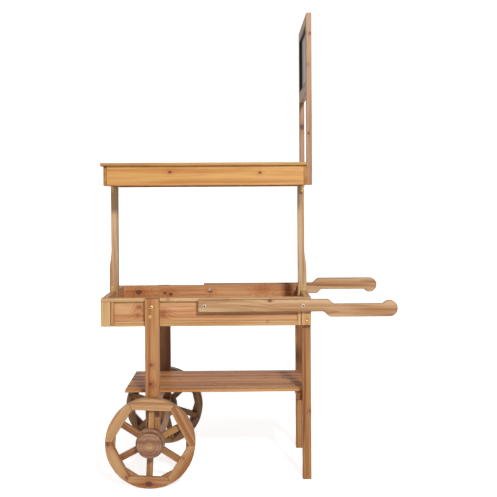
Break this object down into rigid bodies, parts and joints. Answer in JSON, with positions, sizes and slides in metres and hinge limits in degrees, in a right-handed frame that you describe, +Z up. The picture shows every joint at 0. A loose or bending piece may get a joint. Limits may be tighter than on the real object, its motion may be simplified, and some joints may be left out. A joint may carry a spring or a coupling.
{
  "type": "push vending cart",
  "caption": "Wooden vending cart with spoked wheels and handles, a tray, a slatted lower shelf, an upper shelf on posts and a tall chalkboard sign, for displaying and selling goods.",
  "frame": {"origin": "on the floor under the middle of the cart's bounding box", "axes": "+Z up, +X from the wheel end to the handle end, +Y to the right-hand side of a person at the handles"},
  "size_m": [1.127, 0.704, 1.79],
  "materials": {
    "panel_pine": "clear satin varnish over knotty pine",
    "strip_pine": "clear satin varnish over pale pine",
    "leg_pine": "clear satin varnish over straight-grained pine",
    "slat_pine": "clear satin varnish over grey-brown pine",
    "post_pine": "clear satin varnish over pine",
    "top_pine": "clear satin varnish over yellow-orange pine",
    "sign_pine": "clear satin varnish over reddish pine",
    "handle_pine": "clear satin varnish over pale pine",
    "wheel_pine": "clear satin varnish over sawn pine",
    "hub_pine": "turned end grain under satin varnish",
    "slate": "matt chalkboard paint on thin board",
    "dark_bead": "near-black painted bead",
    "brass": "satin",
    "steel": "zinc-plated, satin"
  },
  "bodies": {
    "cart": {"left_panel": "panel_pine", "right_panel": "panel_pine", "left_top_strip": "strip_pine", "right_top_strip": "strip_pine", "left_bottom_strip": "strip_pine", "right_bottom_strip": "strip_pine", "left_corner_strips": "strip_pine", "right_corner_strips": "strip_pine", "front_end_board": "panel_pine", "rear_end_board": "panel_pine", "tray_floor": "panel_pine", "floor_battens": "leg_pine", "left_wheel_leg": "leg_pine", "right_wheel_leg": "leg_pine", "left_rear_leg": "leg_pine", "right_rear_leg": "leg_pine", "axle_beam": "leg_pine", "axle_rod": "steel", "axle_washers": "steel", "axle_nuts": "steel", "shelf_slat_1": "slat_pine", "shelf_slat_2": "slat_pine", "shelf_slat_3": "slat_pine", "shelf_slat_4": "slat_pine", "shelf_slat_5": "slat_pine", "shelf_slat_6": "slat_pine", "front_shelf_bar": "leg_pine", "rear_shelf_bar": "leg_pine", "front_post": "post_pine", "rear_post": "post_pine", "post_brackets": "brass", "top_left_board": "top_pine", "top_right_board": "top_pine", "top_front_board": "top_pine", "top_rear_board": "top_pine", "top_planks": "top_pine", "top_batten": "top_pine", "left_sign_upright": "sign_pine", "right_sign_upright": "sign_pine", "sign_top_rail": "sign_pine", "sign_bottom_rail": "sign_pine", "chalkboard": "slate", "chalkboard_beads": "dark_bead", "sign_screws": "steel", "left_handle": "handle_pine", "right_handle": "handle_pine", "handle_packers": "panel_pine", "handle_bolts": "steel", "leg_screws": "brass", "slat_screws": "steel"},
    "left_wheel": {"left_wheel_outer_felloes": "wheel_pine", "left_wheel_inner_felloes": "wheel_pine", "left_wheel_spokes": "wheel_pine", "left_wheel_hub": "hub_pine", "left_wheel_cap": "hub_pine"},
    "right_wheel": {"right_wheel_outer_felloes": "wheel_pine", "right_wheel_inner_felloes": "wheel_pine", "right_wheel_spokes": "wheel_pine", "right_wheel_hub": "hub_pine", "right_wheel_cap": "hub_pine"}
  },
  "joints": [
    {"name": "left_wheel_spin", "type": "hinge", "parent": "cart", "child": "left_wheel", "pos_m": [-0.3725, -0.301, 0.168], "axis": [0, 1, 0], "continuous": true},
    {"name": "right_wheel_spin", "type": "hinge", "parent": "cart", "child": "right_wheel", "pos_m": [-0.3725, 0.301, 0.168], "axis": [0, 1, 0], "continuous": true}
  ]
}
